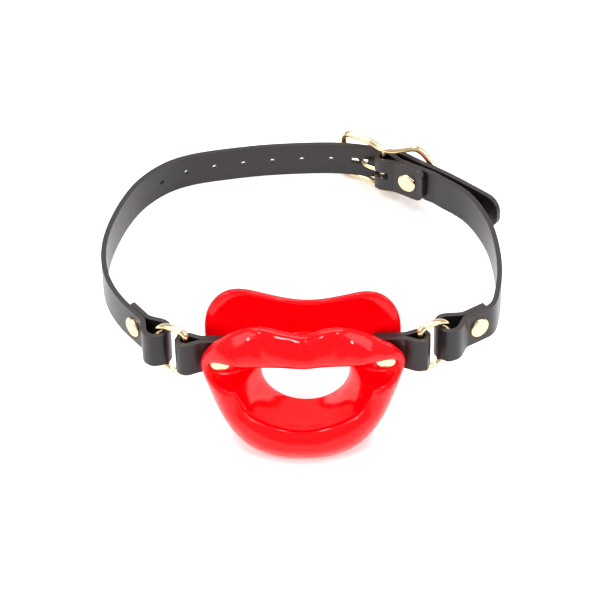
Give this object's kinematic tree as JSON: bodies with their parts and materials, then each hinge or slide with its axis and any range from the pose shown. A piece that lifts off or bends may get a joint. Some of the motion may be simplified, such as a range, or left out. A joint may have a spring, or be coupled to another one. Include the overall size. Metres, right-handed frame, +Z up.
{
  "type": "strap harness with lips-shaped mouthpiece",
  "caption": "Glossy red lips-shaped open mouthpiece with a rear flange, on an adjustable buckled strap loop with D-rings and rivets.",
  "frame": {"origin": "middle of the bounding box, at the level it rests on", "axes": "+Z up, mouthpiece faces -Y, strap loop runs back along +Y and down, +X is the buckle's side"},
  "size_m": [0.1746, 0.1692, 0.0701],
  "materials": {
    "red_rubber": "glossy soft translucent red moulding",
    "strap": "satin black coated strap with dark grey cut edges",
    "hardware": "polished pale gold plate",
    "rivets": "polished pale gold plate"
  },
  "bodies": {
    "mouth": {"mouthpiece": "red_rubber", "tab_left": "strap", "tab_right": "strap", "rivet_cap_mouth_left": "rivets", "rivet_post_mouth_left": "rivets", "rivet_cap_mouth_right": "rivets", "rivet_post_mouth_right": "rivets"},
    "left_ring": {"ring_left": "hardware"},
    "right_ring": {"ring_right": "hardware"},
    "strap_loop": {"long_strap": "strap", "buckle_strap": "strap", "rivet_cap_strap_left": "rivets", "rivet_post_strap_left": "rivets", "rivet_cap_strap_right": "rivets", "rivet_post_strap_right": "rivets", "rivet_cap_buckle": "rivets", "rivet_post_buckle": "rivets"},
    "buckle": {"buckle_frame": "hardware"},
    "prong": {"buckle_prong": "hardware"}
  },
  "joints": [
    {"name": "left_ring_swing", "type": "hinge", "parent": "mouth", "child": "left_ring", "pos_m": [-0.04994, -0.05359, 0.04158], "axis": [-0.0146, 0.2337, 0.9722], "range_deg": [-8, 8]},
    {"name": "strap_swing", "type": "hinge", "parent": "left_ring", "child": "strap_loop", "pos_m": [-0.06249, -0.04565, 0.03948], "axis": [-0.0146, 0.2337, 0.9722], "range_deg": [-7, 7]},
    {"name": "right_ring_swing", "type": "hinge", "parent": "mouth", "child": "right_ring", "pos_m": [0.04765, -0.05359, 0.04304], "axis": [-0.0146, 0.2337, 0.9722], "range_deg": [-8.5, 8.5]},
    {"name": "buckle_rock", "type": "hinge", "parent": "strap_loop", "child": "buckle", "pos_m": [0.03728, 0.06668, 0.01398], "axis": [-0.0146, 0.2337, 0.9722], "range_deg": [-0.5, 1.5]},
    {"name": "prong_lift", "type": "hinge", "parent": "buckle", "child": "prong", "pos_m": [0.03728, 0.06668, 0.01398], "axis": [0.0146, -0.2337, -0.9722], "range_deg": [0, 2.5]}
  ],
  "couplings": [
    {"joint": "strap_swing", "follows": "left_ring_swing", "ratio": -0.795},
    {"joint": "right_ring_swing", "follows": "left_ring_swing", "ratio": 1}
  ]
}
